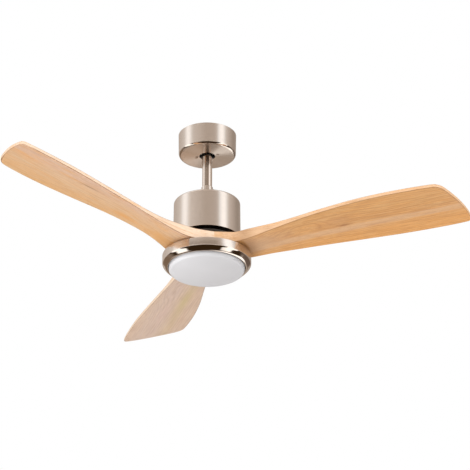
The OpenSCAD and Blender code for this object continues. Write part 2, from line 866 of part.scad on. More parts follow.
// Outline of the lens from its rim to the axis: a narrower rim, a step out, a straight wall,
// a rounded edge and a slightly domed face.
function lens_outline(inset) = let (steps = 10, edge = lens_edge_r - inset, wall_r = lens_r - inset,
        crown_r = wall_r - edge, crown_z = -lens_shoulder - edge, crown = lens_bottom - inset + crown_z)
    concat([[lens_rim_r - inset, -lens_top], [lens_rim_r - inset, -lens_step_top],
            [wall_r, -lens_step_bottom], [wall_r, -lens_shoulder]],
        [for (i = [1:steps]) let (a = 90 * i / steps)
            [crown_r + edge * cos(a), -lens_shoulder - edge * sin(a)]],
        [for (i = [1:steps]) let (q = 1 - i / steps) [crown_r * q, crown_z - crown * (1 - q * q)]]);

module lens() {
    cut_top = -lens_top + 1;
    lug_root = lens_rim_r - 0.6;
    color(opal) {
        difference() {
            rotate_extrude() polygon(concat([[0, -lens_top]], lens_outline(0)));
            rotate_extrude()
                polygon(concat([[0, cut_top], [lens_rim_r - lens_wall, cut_top]], lens_outline(lens_wall)));
        }
        around(3) translate([0, 0, -lug_z1]) rotate_extrude(angle = lug_angle)
            translate([lug_root, 0]) square([lug_r - lug_root, lug_z1 - lug_z0]);
    }
}

ceiling_bracket();
ball_seat();
registration_pin();
earth_screw();
terminal_block();
receiver_box();
canopy();
canopy_screws();
seat_liner();
hanger_ball();
ball_pin();
ball_set_screw();
downrod();
rod_pin();
pin_clip();
motor_coupler();
coupler_set_screws();
lead_connector();
lead_bundle();
motor_housing();
housing_screws();
motor_shaft();
stator_core();
stator_windings();
motor_board();
board_standoffs();
bearing_inner_rings();
bearing_outer_rings();
bearing_balls();
rotor_top_casing();
rotor_bottom_casing();
casing_screws();
back_iron_ring();
rotor_magnets();
hub_pad();
blade_1();
blade_2();
blade_3();
blade_clamp_plate();
blade_screws();
light_mount_plate();
shaft_nut();
light_ring();
ring_screws();
led_driver();
led_standoffs();
led_board();
leds();
lens_keepers();
lens();
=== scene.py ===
import json
import math

import bmesh
import bpy
import numpy as np
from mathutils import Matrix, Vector


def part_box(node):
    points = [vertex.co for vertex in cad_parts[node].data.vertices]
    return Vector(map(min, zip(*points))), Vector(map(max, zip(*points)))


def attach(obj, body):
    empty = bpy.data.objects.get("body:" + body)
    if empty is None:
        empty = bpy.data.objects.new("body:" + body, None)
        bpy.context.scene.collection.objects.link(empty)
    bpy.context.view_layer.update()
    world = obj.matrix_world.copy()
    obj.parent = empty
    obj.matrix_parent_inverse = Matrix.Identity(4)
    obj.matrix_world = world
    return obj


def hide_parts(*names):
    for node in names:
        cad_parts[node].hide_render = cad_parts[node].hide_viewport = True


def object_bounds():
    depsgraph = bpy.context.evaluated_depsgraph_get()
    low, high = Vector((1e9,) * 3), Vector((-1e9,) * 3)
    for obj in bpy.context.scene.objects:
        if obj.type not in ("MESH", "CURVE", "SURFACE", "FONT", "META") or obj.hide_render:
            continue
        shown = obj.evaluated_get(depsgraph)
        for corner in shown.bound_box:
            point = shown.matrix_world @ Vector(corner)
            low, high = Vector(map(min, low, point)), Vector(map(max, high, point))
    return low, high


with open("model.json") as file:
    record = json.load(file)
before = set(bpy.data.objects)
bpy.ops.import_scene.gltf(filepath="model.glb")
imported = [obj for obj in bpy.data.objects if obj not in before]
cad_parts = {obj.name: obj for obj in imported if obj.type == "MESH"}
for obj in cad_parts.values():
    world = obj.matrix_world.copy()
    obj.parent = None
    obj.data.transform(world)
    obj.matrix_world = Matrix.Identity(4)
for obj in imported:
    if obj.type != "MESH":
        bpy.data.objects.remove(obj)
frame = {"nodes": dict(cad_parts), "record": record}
cad_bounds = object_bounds()

MM = 0.001


def node_top(name):
    """The height of a node's top, in metres."""
    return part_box(name)[1].z


def node_low(name):
    """The height of a node's lowest point, in metres."""
    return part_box(name)[0].z


def node_radius(name):
    """Half of a round node's width along X, in metres."""
    low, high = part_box(name)
    return (high.x - low.x) / 2


# ---- camera ----

VIEW_AZIMUTH = 16.78      # degrees, as the other views count it
VIEW_ELEVATION = -26.69   # the camera looks up from below
VIEW_DISTANCE = 6.78      # metres from the point on the axis that it circles
VIEW_ROLL = 0.006         # degrees
LENS = 207.8              # millimetres
SENSOR = 36               # millimetres
CIRCLE_CENTRE = Vector((0, 0, -0.230))
AIM_RIGHT = 0.0700        # metres from the circle's centre to the point looked at
AIM_UP = -0.0493


def view_axes():
    """Level directions to the camera's right and away from it."""
    az = math.radians(VIEW_AZIMUTH)
    return Vector((math.cos(az), math.sin(az), 0)), Vector((-math.sin(az), math.cos(az), 0))


def make_camera():
    right = view_axes()[0]
    az, el = math.radians(VIEW_AZIMUTH), math.radians(VIEW_ELEVATION)
    back = Vector((math.sin(az) * math.cos(el), -math.cos(az) * math.cos(el), math.sin(el)))
    eye = CIRCLE_CENTRE + back * VIEW_DISTANCE
    target = CIRCLE_CENTRE + right * AIM_RIGHT + Vector((0, 0, AIM_UP))
    camera = bpy.data.cameras.new("camera")
    camera.lens = LENS
    camera.sensor_width = SENSOR
    camera.clip_end = 100
    obj = bpy.data.objects.new("camera", camera)
    bpy.context.scene.collection.objects.link(obj)
    obj.location = eye
    obj.rotation_euler = (target - eye).to_track_quat("-Z", "Y").to_euler()
    obj.rotation_euler.rotate_axis("Z", -math.radians(VIEW_ROLL))
    bpy.context.scene.camera = obj


# ---- node helpers ----

class Nodes:
    """Short calls for building a node tree."""

    def __init__(self, tree):
        self.tree = tree

    def add(self, kind, **values):
        node = self.tree.nodes.new(kind)
        for key, value in values.items():
            setattr(node, key, value)
        return node

    def link(self, a, b):
        self.tree.links.new(a, b)

    def math(self, op, a, b=0.0, clamp=False):
        node = self.tree.nodes.new("ShaderNodeMath")
        node.operation = op
        node.use_clamp = clamp
        for i, value in enumerate((a, b)):
            if isinstance(value, (int, float)):
                node.inputs[i].default_value = value
            else:
                self.link(value, node.inputs[i])
        return node.outputs[0]

    def length(self, a, b):
        """The length of a vector with these two parts."""
        return self.math("SQRT", self.math("ADD", self.math("MULTIPLY", a, a), self.math("MULTIPLY", b, b)))

    def ramp(self, factor, stops):
        """Colours at places from 0 to 1, with straight runs between them."""
        node = self.add("ShaderNodeValToRGB")
        elements = node.color_ramp.elements
        while len(elements) < len(stops):
            elements.new(0.5)
        for element, (place, colour) in zip(elements, stops):
            element.position = place
            element.color = (*colour, 1)
        self.link(factor, node.inputs[0])
        return node.outputs[0]

    def levels(self, factor, stops):
        """A ramp of greys."""
        return self.ramp(factor, [(place, (level,) * 3) for place, level in stops])

    def mix(self, factor, a, b, blend="MIX"):
        node = self.tree.nodes.new("ShaderNodeMix")
        node.data_type = "RGBA"
        node.blend_type = blend
        for socket, value in ((node.inputs[0], factor), (node.inputs[6], a), (node.inputs[7], b)):
            if isinstance(value, (int, float)):
                socket.default_value = value
            elif isinstance(value, tuple):
                socket.default_value = (*value, 1)
            else:
                self.link(value, socket)
        return node.outputs[2]

    def noise(self, vector, scale, detail=2.0, roughness=0.5):
        node = self.add("ShaderNodeTexNoise")
        node.inputs["Scale"].default_value = scale
        node.inputs["Detail"].default_value = detail
        node.inputs["Roughness"].default_value = roughness
        self.link(vector, node.inputs["Vector"])
        return node.outputs["Fac"]

    def spot(self, x, y, place, size):
        """1 at a place in x and y, fading to 0 over a size in x and y."""
        total = 0.0
        for value, centre, width in zip((x, y), place, size):
            part = self.math("DIVIDE", self.math("SUBTRACT", value, centre), width)
            total = self.math("ADD", self.math("MULTIPLY", part, part), total)
        return self.math("EXPONENT", self.math("MULTIPLY", total, -1.0))

    def scaled(self, vector, scale, offset=(0, 0, 0)):
        node = self.add("ShaderNodeMapping")
        node.inputs["Scale"].default_value = scale
        node.inputs["Location"].default_value = offset
        self.link(vector, node.inputs["Vector"])
        return node.outputs[0]


def new_material(name):
    material = bpy.data.materials.new(name)
    material.use_nodes = True
    tree = material.node_tree
    tree.nodes.clear()
    nodes = Nodes(tree)
    shader = nodes.add("ShaderNodeBsdfPrincipled")
    output = nodes.add("ShaderNodeOutputMaterial")
    nodes.link(shader.outputs[0], output.inputs[0])
    return material, nodes, shader


def object_coords(nodes):
    return nodes.add("ShaderNodeTexCoord").outputs["Object"]


def shade(colour, factor):
    return tuple(min(1.0, c * factor) for c in colour)


def set_roughness(nodes, shader, pattern, spread, least):
    """Roughness that rises with a pattern by up to spread."""
    nodes.link(nodes.math("ADD", nodes.math("MULTIPLY", pattern, spread), least), shader.inputs["Roughness"])


def add_bump(nodes, shader, height, strength, distance):
    bump = nodes.add("ShaderNodeBump")
    bump.inputs["Strength"].default_value = strength
    bump.inputs["Distance"].default_value = distance
    nodes.link(height, bump.inputs["Height"])
    nodes.link(bump.outputs[0], shader.inputs["Normal"])
    return bump


# ---- materials ----

POLISH = 0.5              # share of the roughness that polishing takes off rounded edges
CROWN_SLOPE = -0.06       # turned flats are shaded as very slightly crowned
LINE_SCALE = 1400.0       # how fine the brushed lines are
LINE_DRIFT = 0.004        # how far the lines' pattern drifts in a radian round the axis


def brushed_metal(name, colour, roughness, flat_roughness=0.0):
    """Turned and brushed metal: fine lines run round the fan's axis on walls and flats alike.

    Highlights spread across the lines. Faces square to the axis are rougher by flat_roughness."""
    material, nodes, shader = new_material(name)
    coords = object_coords(nodes)
    parts = nodes.add("ShaderNodeSeparateXYZ")
    nodes.link(coords, parts.inputs[0])
    x, y, z = parts.outputs
    radius = nodes.length(x, y)
    along = nodes.add("ShaderNodeCombineXYZ")
    nodes.link(radius, along.inputs[0])
    nodes.link(z, along.inputs[1])
    nodes.link(nodes.math("MULTIPLY", nodes.math("ARCTAN2", y, x), LINE_DRIFT), along.inputs[2])
    lines = nodes.noise(along.outputs[0], LINE_SCALE, 3.0, 0.6)
    cloud = nodes.noise(coords, 18.0, 2.0)
    tones = [(0.3, shade(colour, 0.94)), (0.7, shade(colour, 1.03))]
    nodes.link(nodes.ramp(lines, tones), shader.inputs["Base Color"])
    normal = nodes.add("ShaderNodeSeparateXYZ")
    nodes.link(nodes.add("ShaderNodeNewGeometry").outputs["Normal"], normal.inputs[0])
    flat = nodes.math("POWER", nodes.math("ABSOLUTE", normal.outputs[2]), 6.0)
    squared = nodes.math("MULTIPLY", normal.outputs[2], normal.outputs[2])
    rounding = nodes.math("MULTIPLY", squared, nodes.math("SUBTRACT", 1.0, squared))
    rough = nodes.math("ADD", nodes.math("MULTIPLY", lines, 0.05), nodes.math("MULTIPLY", cloud, 0.03))
    rough = nodes.math("ADD", rough, nodes.math("MULTIPLY", flat, flat_roughness))
    rough = nodes.math("SUBTRACT", rough, nodes.math("MULTIPLY", rounding, 4 * roughness * POLISH))
    nodes.link(nodes.math("ADD", rough, roughness - 0.04), shader.inputs["Roughness"])
    shader.inputs["Metallic"].default_value = 1.0
    shader.inputs["Anisotropic"].default_value = 0.9
    shader.inputs["Anisotropic Rotation"].default_value = 0.25
    tangent = nodes.add("ShaderNodeTangent", direction_type="RADIAL", axis="Z")
    nodes.link(tangent.outputs[0], shader.inputs["Tangent"])
    line_bump = add_bump(nodes, shader, lines, 0.02, 0.00004)
    crown = nodes.add("ShaderNodeBump")
    fall = nodes.math("MULTIPLY", radius, CROWN_SLOPE)
    nodes.link(nodes.math("MULTIPLY", fall, flat), crown.inputs["Height"])
    crown.inputs["Strength"].default_value = 1.0
    crown.inputs["Distance"].default_value = 1.0
    nodes.link(crown.outputs[0], line_bump.inputs["Normal"])
    return material


def plain_metal(name, colour, roughness, grain=500.0):
    """Plated, ground or sintered metal with faint mottling."""
    material, nodes, shader = new_material(name)
    mottle = nodes.noise(object_coords(nodes), grain, 3.0)
    nodes.link(nodes.ramp(mottle, [(0.35, shade(colour, 0.85)), (0.65, colour)]), shader.inputs["Base Color"])
    set_roughness(nodes, shader, mottle, 0.15, roughness - 0.07)
    shader.inputs["Metallic"].default_value = 1.0
    add_bump(nodes, shader, mottle, 0.05, 0.0001)
    return material


def moulded(name, colour, roughness, grain=900.0, strength=0.15):
    """Plastic, paint, powder coat or rubber with a fine surface grain."""
    material, nodes, shader = new_material(name)
    coords = object_coords(nodes)
    grains = nodes.noise(coords, grain, 2.0)
    cloud = nodes.noise(coords, 25.0, 2.0)
    nodes.link(nodes.ramp(cloud, [(0.3, shade(colour, 0.88)), (0.7, colour)]), shader.inputs["Base Color"])
    set_roughness(nodes, shader, grains, 0.12, roughness - 0.06)
    add_bump(nodes, shader, grains, strength, 0.0001)
    return material


def opal_lens():
    """Opal diffuser: white plastic with light scattered a little way inside."""
    material, nodes, shader = new_material("opal_plastic")
    coords = object_coords(nodes)
    cloud = nodes.noise(coords, 9.0, 2.0)
    whites = [(0.3, (0.49, 0.49, 0.51)), (0.7, (0.505, 0.505, 0.525))]
    nodes.link(nodes.ramp(cloud, whites), shader.inputs["Base Color"])
    fine = nodes.noise(coords, 1500.0, 2.0)
    set_roughness(nodes, shader, fine, 0.06, 0.30)
    shader.inputs["Subsurface Weight"].default_value = 0.25
    shader.inputs["Subsurface Radius"].default_value = (0.004, 0.004, 0.004)
    shader.inputs["Subsurface Scale"].default_value = 1.0
    add_bump(nodes, shader, fine, 0.03, 0.0001)
    return material


def plank_wood(name, plank):
    """A pale plank with its grain along its length, in colour bands across its width.

    Growth rings lie round the tree's heart and bend round knots. Fibres, pores and a satin
    lacquer lie over them. Places are in the plank's own frame: x along it from the fan's axis,
    y across it and z up, in metres."""
    material, nodes, shader = new_material(name)
    turned = nodes.add("ShaderNodeVectorRotate", rotation_type="Z_AXIS")
    turned.inputs["Angle"].default_value = -math.radians(plank["turn"])
    nodes.link(object_coords(nodes), turned.inputs["Vector"])
    own = nodes.add("ShaderNodeSeparateXYZ")
    nodes.link(turned.outputs[0], own.inputs[0])
    x, y, z = own.outputs
    coords = nodes.scaled(turned.outputs[0], (1, 1, 1), plank["seed"])

    def stretched(along_scale, across_scale, detail=2.0, roughness=0.5):
        """Noise drawn out along the plank."""
        drawn_out = nodes.scaled(coords, (along_scale, across_scale, across_scale))
        return nodes.noise(drawn_out, 1.0, detail, roughness)

    def share_across(millimetres):
        """A place from the plank's middle, as a share of the bands' whole width."""
        return millimetres * MM / (2 * BAND_REACH) + 0.5

    # Bands across the plank, with a slight waver along it.
    waver = nodes.math("MULTIPLY", nodes.math("SUBTRACT", stretched(2.5, 12.0), 0.5), 0.012)
    across = nodes.math("ADD", nodes.math("DIVIDE", nodes.math("ADD", y, waver), 2 * BAND_REACH), 0.5)
    colour = nodes.ramp(across, [(share_across(place), tone) for place, tone in plank["bands"]])

    # The side faces are painted paler: a painted highlight where the edges catch the light.
    normal = nodes.add("ShaderNodeSeparateXYZ")
    nodes.link(nodes.add("ShaderNodeNewGeometry").outputs["Normal"], normal.inputs[0])
    tilt = nodes.math("ABSOLUTE", normal.outputs[2])
    edge = nodes.levels(tilt, [(0.35, 1), (0.50, 0)])
    colour = nodes.mix(nodes.math("MULTIPLY", edge, 0.75), colour, plank["edge_highlight_colour"])

    # Growth rings by their distance from the heart, pushed aside by knots. The sawn edges show none.
    dy = nodes.math("SUBTRACT", y, plank["heart"][0])
    dz = nodes.math("SUBTRACT", z, plank["heart"][1])
    distance = nodes.length(dy, dz)
    wander = nodes.math("MULTIPLY", nodes.math("SUBTRACT", stretched(1.6, 6.0), 0.5), 0.014)
    ripple = nodes.math("MULTIPLY", stretched(10.0, 90.0, 3.0), 0.004)
    distance = nodes.math("ADD", nodes.math("ADD", distance, wander), ripple)
    for place_x, place_y, length, width, push in plank["knots"]:
        knot = nodes.spot(x, y, (place_x, place_y), (length, width))
        distance = nodes.math("ADD", distance, nodes.math("MULTIPLY", knot, push))
    ring = nodes.math("FRACT", nodes.math("MULTIPLY", distance, RINGS_PER_METRE))
    ring_tone = nodes.levels(ring, [(0.0, 0.1), (0.45, 0), (0.80, 1), (1.0, 0.1)])
    shares = [(share_across(place), share) for place, share in plank["ring_share"]]
    ring_tone = nodes.math("MULTIPLY", ring_tone, nodes.levels(across, shares))
    ring_tone = nodes.math("MULTIPLY", ring_tone, nodes.math("SUBTRACT", 1.0, edge))
    colour = nodes.mix(ring_tone, colour, plank["ring_colour"])

    # Long streaks of richer and paler wood, and finer ones that are dark or light.
    streak = nodes.levels(stretched(3.0, 130.0, 2.0, 0.6), [(0.50, 0), (0.72, 1)])
    streak = nodes.math("MULTIPLY", streak, plank["streak_strength"])
    colour = nodes.mix(streak, colour, plank["streak_colour"])
    pale = nodes.levels(stretched(2.4, 95.0, 2.0, 0.6), [(0.28, 1), (0.46, 0)])
    colour = nodes.mix(nodes.math("MULTIPLY", pale, 0.25), colour, plank["pale_colour"])
    figure = stretched(5.0, 230.0, 3.0, 0.6)
    colour = nodes.mix(nodes.levels(figure, [(0.30, 0.38), (0.50, 0)]), colour, plank["ring_colour"])
    colour = nodes.mix(nodes.levels(figure, [(0.50, 0), (0.70, 0.40)]), colour, plank["light_colour"])

    # Single marks: knots, dark streaks and patches, and on plank_1 painted shade beside the light ring.
    for place_x, place_y, length, width, tone, strength in plank["marks"]:
        mask = nodes.spot(x, nodes.math("ADD", y, waver), (place_x, place_y), (length, width))
        colour = nodes.mix(nodes.math("MULTIPLY", mask, strength), colour, tone)

    # Fibres and pores, long and thin.
    fibre = stretched(16.0, 900.0, 3.0, 0.65)
    pore = stretched(40.0, 2200.0, 1.0)
    dark = shade(plank["ring_colour"], 0.72)
    colour = nodes.mix(nodes.levels(fibre, [(0.35, 0.22), (0.62, 0)]), colour, dark)
    colour = nodes.mix(nodes.levels(pore, [(0.28, 0.35), (0.38, 0)]), colour, dark)

    # A darker line where the edges meet the faces. It fades beyond arris_end.
    arris = nodes.levels(tilt, [(0.28, 0), (0.40, 1), (0.90, 1), (0.955, 0)])
    short_of_tip = nodes.levels(x, [(plank["arris_end"], 1), (plank["arris_end"] + 0.02, 0.3)])
    arris = nodes.math("MULTIPLY", arris, short_of_tip)
    colour = nodes.mix(nodes.math("MULTIPLY", arris, plank["arris"]), colour, plank["arris_colour"])

    nodes.link(colour, shader.inputs["Base Color"])
    set_roughness(nodes, shader, fibre, 0.16, 0.34)
    shader.inputs["Coat Weight"].default_value = 0.15
    shader.inputs["Coat Roughness"].default_value = 0.30
    height = nodes.math("ADD", nodes.math("MULTIPLY", fibre, 0.7), nodes.math("MULTIPLY", pore, 0.5))
    add_bump(nodes, shader, height, 0.2, 0.00012)
    return material


def copper_windings():
    """Coils wound in layers: fine ridges across each coil."""
    material, nodes, shader = new_material("copper_wire")
    wave = nodes.add("ShaderNodeTexWave", wave_type="BANDS", bands_direction="Z")
    wave.inputs["Scale"].default_value = 160.0
    nodes.link(object_coords(nodes), wave.inputs["Vector"])
    coppers = [(0.0, (0.30, 0.11, 0.04)), (1.0, (0.72, 0.34, 0.16))]
    nodes.link(nodes.ramp(wave.outputs["Fac"], coppers), shader.inputs["Base Color"])
    shader.inputs["Metallic"].default_value = 0.9
    shader.inputs["Roughness"].default_value = 0.35
    add_bump(nodes, shader, wave.outputs["Fac"], 0.5, 0.0003)
    return material


def lead_colours():
    """Each lead's insulation has its own colour by where it stands in the bundle."""
    material, nodes, shader = new_material("lead_insulation")
    parts = nodes.add("ShaderNodeSeparateXYZ")
    nodes.link(object_coords(nodes), parts.inputs[0])
    left = nodes.math("LESS_THAN", parts.outputs[0], 0.0)
    front = nodes.math("LESS_THAN", parts.outputs[1], 0.0)
    first = nodes.mix(front, (0.02, 0.10, 0.45), (0.25, 0.09, 0.03))
    second = nodes.mix(front, (0.75, 0.75, 0.75), (0.70, 0.60, 0.05))
    nodes.link(nodes.mix(left, second, first), shader.inputs["Base Color"])
    shader.inputs["Roughness"].default_value = 0.4
    return material


def make_materials():
    nickel = (0.72, 0.648, 0.59)
    return {
        "brushed_nickel": brushed_metal("brushed_nickel", nickel, 0.25, 0.06),
        "ring_nickel": brushed_metal("ring_nickel", nickel, 0.16),
        "rod_nickel": brushed_metal("rod_nickel", (0.72, 0.63, 0.56), 0.14),
        "zinc_steel": plain_metal("zinc_steel", (0.62, 0.63, 0.64), 0.32),
        "green_screw": moulded("green_screw", (0.03, 0.20, 0.06), 0.4),
        "black_nylon": moulded("black_nylon", (0.016, 0.016, 0.018), 0.55),
        "white_nylon": moulded("white_nylon", (0.78, 0.78, 0.74), 0.45),
        "black_casting": moulded("black_casting", (0.026, 0.018, 0.011), 0.5, 700.0, 0.3),
        "black_screw": plain_metal("black_screw", (0.06, 0.06, 0.065), 0.4),
        "lead_insulation": lead_colours(),
        "shaft_steel": brushed_metal("shaft_steel", (0.55, 0.55, 0.56), 0.25),
        "laminations": plain_metal("laminations", (0.22, 0.23, 0.25), 0.5, 200.0),
        "copper_wire": copper_windings(),
        "green_board": moulded("green_board", (0.01, 0.13, 0.05), 0.35),
        "brass_post": plain_metal("brass_post", (0.72, 0.52, 0.22), 0.28),
        "bearing_steel": plain_metal("bearing_steel", (0.75, 0.76, 0.78), 0.15),
        "ferrite": moulded("ferrite", (0.035, 0.035, 0.04), 0.6),
        "hub_rubber": moulded("hub_rubber", (0.010, 0.010, 0.010), 0.75),
        "white_aluminium": moulded("white_aluminium", (0.82, 0.83, 0.84), 0.4),
        "led_phosphor": moulded("led_phosphor", (0.85, 0.66, 0.14), 0.35),
        "opal_plastic": opal_lens(),
    }


def dress_cad_nodes(materials):
    """Every CAD node takes its slot's material, except the blades, which are replaced."""
    slots = {part["node"]: part["material_slot"] for part in frame["record"]["subparts"]}
    for name, obj in frame["nodes"].items():
        if slots[name] in materials:
            obj.data.materials.clear()
            obj.data.materials.append(materials[slots[name]])


# ---- mesh helpers ----

def new_piece(name, verts, faces, material, body, sharp=35.0):
    """A shaded piece from points in metres, with creases where faces turn by more than sharp degrees."""
    mesh = bpy.data.meshes.new(name)
    mesh.from_pydata([tuple(v) for v in verts], [], faces)
    mesh.validate()
    work = bmesh.new()
    work.from_mesh(mesh)
    bmesh.ops.remove_doubles(work, verts=work.verts, dist=1e-7)
    bmesh.ops.recalc_face_normals(work, faces=work.faces)
    work.to_mesh(mesh)
    work.free()
    mesh.shade_smooth()
    mesh.set_sharp_from_angle(angle=math.radians(sharp))
    mesh.materials.append(material)
    obj = bpy.data.objects.new(name, mesh)
    bpy.context.scene.collection.objects.link(obj)
    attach(obj, body)
    return obj


def rounded_loop(corners, steps):
    """A closed outline in (radius, z) from corners (radius, z, fillet), with arcs at the fillets.

    A support point sits just outside each arc, so that shading stays flat on the flats."""
    count = len(corners)
    outline = []
    for i, (r, z, fillet) in enumerate(corners):
        here = np.array([r, z])
        if fillet <= 0:
            outline.append(here)
            continue
        back = np.array(corners[i - 1][:2]) - here
        ahead = np.array(corners[(i + 1) % count][:2]) - here
        back_len, ahead_len = np.linalg.norm(back), np.linalg.norm(ahead)
        back, ahead = back / back_len, ahead / ahead_len
        half = math.acos(np.clip(back @ ahead, -1, 1)) / 2
        reach = fillet / math.tan(half)
        centre = here + (back + ahead) / np.linalg.norm(back + ahead) * fillet / math.sin(half)
        start, end = here + back * reach, here + ahead * reach
        support = min(fillet * 0.15, (back_len - reach) * 0.4, (ahead_len - reach) * 0.4)
        if support > 1e-6:
            outline.append(start + back * support)
        a = math.atan2(*(start - centre)[::-1])
        turn = (math.atan2(*(end - centre)[::-1]) - a + math.pi) % (2 * math.pi) - math.pi
        for k in range(steps + 1):
            angle = a + turn * k / steps
            outline.append(centre + fillet * np.array([math.cos(angle), math.sin(angle)]))
        if support > 1e-6:
            outline.append(end + ahead * support)
    return outline


def lathe(name, outline, material, body, node, segments=180):
    """Turns a closed (radius, z) outline, in millimetres, about the fan's axis."""
    count = len(outline)
    verts = []
    for k in range(segments):
        angle = 2 * math.pi * k / segments
        c, s = math.cos(angle), math.sin(angle)
        verts += [(r * c * MM, r * s * MM, z * MM) for r, z in outline]
    faces = []
    for k in range(segments):
        here, there = k * count, (k + 1) % segments * count
        for i in range(count):
            j = (i + 1) % count
            faces.append((here + i, here + j, there + j, there + i))
    obj = new_piece(name, verts, faces, material, body)
    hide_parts(node)


# ---- metal shells ----

EDGE_BREAK = 0.35         # millimetres, on sheet edges


def make_canopy(nickel):
    h = -node_low("canopy") / MM
    r_top = node_radius("canopy") / MM
    wall, draft, edge, hole = 1.0, 0.8, 7.0, 20.0
    r_low = r_top - draft
    lathe("canopy_shell", rounded_loop([
        (r_top, 0, EDGE_BREAK), (r_low, -h, edge), (hole, -h, EDGE_BREAK), (hole, -h + wall, EDGE_BREAK),
        (r_low - wall, -h + wall, edge - wall), (r_top - wall, 0, EDGE_BREAK)], 10),
        nickel, "root", "canopy")


def make_rod(nickel):
    r = node_radius("downrod") / MM
    low, top = node_low("downrod") / MM, node_top("downrod") / MM
    wall = 1.8
    bore = r - wall
    lathe("rod_tube", rounded_loop([
        (r, top, 0.5), (r, low, 0.5), (bore, low, 0.3), (bore, top, 0.3)], 4),
        nickel, "pendant", "downrod", 96)


def make_coupler(nickel):
    low, top = node_low("motor_coupler") / MM, node_top("motor_coupler") / MM
    flange_r = node_radius("motor_coupler") / MM
    tube_r, bore, flange_t, shoulder, shaft_r = 14.5, 12.5, 5.0, -181.0, 8.5
    lathe("coupler_turned", rounded_loop([
        (tube_r, top, 1.2), (tube_r, low + flange_t, 1.0), (flange_r, low + flange_t, 0.5),
        (flange_r, low, 0.5), (shaft_r, low, 0.3), (shaft_r, shoulder, 0), (bore, shoulder, 0),
        (bore, top, 0.3)], 6),
        nickel, "pendant", "motor_coupler", 120)


def make_housing(nickel):
    r = node_radius("motor_housing") / MM
    low, top = node_low("motor_housing") / MM, node_top("motor_housing") / MM
    wall, draft, edge, hole = 1.2, 0.8, 5.0, 14.9
    lathe("housing_shell", rounded_loop([
        (r, low, EDGE_BREAK), (r - draft, top, edge), (hole, top, EDGE_BREAK), (hole, top - wall, EDGE_BREAK),
        (r - draft - wall, top - wall, edge - wall), (r - wall, low, EDGE_BREAK)], 10),
        nickel, "pendant", "motor_housing")


def make_light_ring(nickel):
    """Straight wall, rounding, 45 degree slope, rounding, narrow flat and an inner wall."""
    r = node_radius("light_ring") / MM
    low, top = node_low("light_ring") / MM, node_top("light_ring") / MM
    wall, shelf_r, mouth_r, rise_top = 1.2, 80.0, 96.3, -355.0
    rounding, slope_run, shoulder = 8.0, 5.0, 1.0
    bend, bend_steps, shoulder_steps = 45, 14, 6
    upper = (r - rounding, low + rounding + slope_run)
    lower = (upper[0] - slope_run, upper[1] - slope_run)

    def section(inset):
        """Points of the outside, set in by some distance, from the top down to the lower flat."""
        radius = rounding - inset
        path = [(r - inset, upper[1] + 0.3)]
        for centre, first in ((upper, 0), (lower, bend)):
            for k in range(bend_steps + 1):
                angle = math.radians(first + bend * k / bend_steps)
                path.append((centre[0] + radius * math.cos(angle), centre[1] - radius * math.sin(angle)))
        return path

    arc = [(r - shoulder + shoulder * math.cos(a), top - shoulder + shoulder * math.sin(a))
           for a in (math.pi / 2 * k / shoulder_steps for k in range(shoulder_steps, -1, -1))]
    lip = [(mouth_r + 0.5, low), (mouth_r + 0.15, low + 0.15), (mouth_r, low + 0.5)]
    mouth = [(mouth_r, rise_top), (mouth_r + wall, rise_top), (mouth_r + wall, low + wall)]
    outline = arc + section(0) + lip + mouth + section(wall)[::-1][1:]
    outline += [(r - wall, top - wall), (shelf_r, top - wall), (shelf_r, top), (r - shoulder - 0.2, top)]
    lathe("ring_shell", outline, nickel, "pendant", "light_ring", 220)


def make_lens(opal):
    """Rim with three lugs, a step out, a short wall, a rounded edge and a slightly domed face."""
    top, low = node_top("lens") / MM, node_low("lens") / MM
    wall, rim_r, wall_r, edge_r = 1.8, 93.4, 94.2, 7.0
    step_top, step_low, shoulder = -365.0, -367.5, -374.0
    arc_steps, crown_steps, segments = 14, 24, 200

    def outline(inset):
        edge, r, face = edge_r - inset, wall_r - inset, low + inset
        crown_r, crown_z = r - edge, shoulder - edge
        path = [(rim_r - inset, top), (rim_r - inset, step_top), (r, step_low), (r, shoulder)]
        path += [(crown_r + edge * math.cos(a), shoulder - edge * math.sin(a))
                 for a in (math.pi / 2 * k / arc_steps for k in range(1, arc_steps + 1))]
        path += [(crown_r * q, crown_z - (crown_z - face) * (1 - q * q))
                 for q in (1 - k / crown_steps for k in range(1, crown_steps))]
        return path + [(0.0, face)]

    verts, rings = [], []
    for r, z in outline(0) + outline(wall)[::-1]:
        count = 1 if r < 1e-6 else segments
        rings.append(list(range(len(verts), len(verts) + count)))
        verts += [(r * MM * math.cos(2 * math.pi * k / segments),
                   r * MM * math.sin(2 * math.pi * k / segments), z * MM) for k in range(count)]
    faces = []
    for a, b in zip(rings, rings[1:] + rings[:1]):
        for k in range(segments):
            m = (k + 1) % segments
            if len(a) == 1 and len(b) == 1:
                continue
            if len(a) == 1:
                faces.append((a[0], b[k], b[m]))
            elif len(b) == 1:
                faces.append((a[k], a[m], b[0]))
            else:
                faces.append((a[k], a[m], b[m], b[k]))
    lug_low, lug_top, lug_in, lug_out, lug_span, lug_steps = -362.6, -360.2, 93.0, 96.0, 20.0, 8
    for lug in range(3):
        first = len(verts)
        for k in range(lug_steps + 1):
            a = math.radians(120 * lug + lug_span * k / lug_steps)
            for r, z in ((lug_in, lug_low), (lug_out, lug_low), (lug_out, lug_top), (lug_in, lug_top)):
                verts.append((r * MM * math.cos(a), r * MM * math.sin(a), z * MM))
        for k in range(lug_steps):
            p = first + 4 * k
            for i in range(4):
                j = (i + 1) % 4
                faces.append((p + i, p + j, p + 4 + j, p + 4 + i))
        faces.append(tuple(first + i for i in (3, 2, 1, 0)))
        faces.append(tuple(first + 4 * lug_steps + i for i in range(4)))
    obj = new_piece("lens_shell", verts, faces, opal, "lens")
    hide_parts("lens")


# ---- blades ----

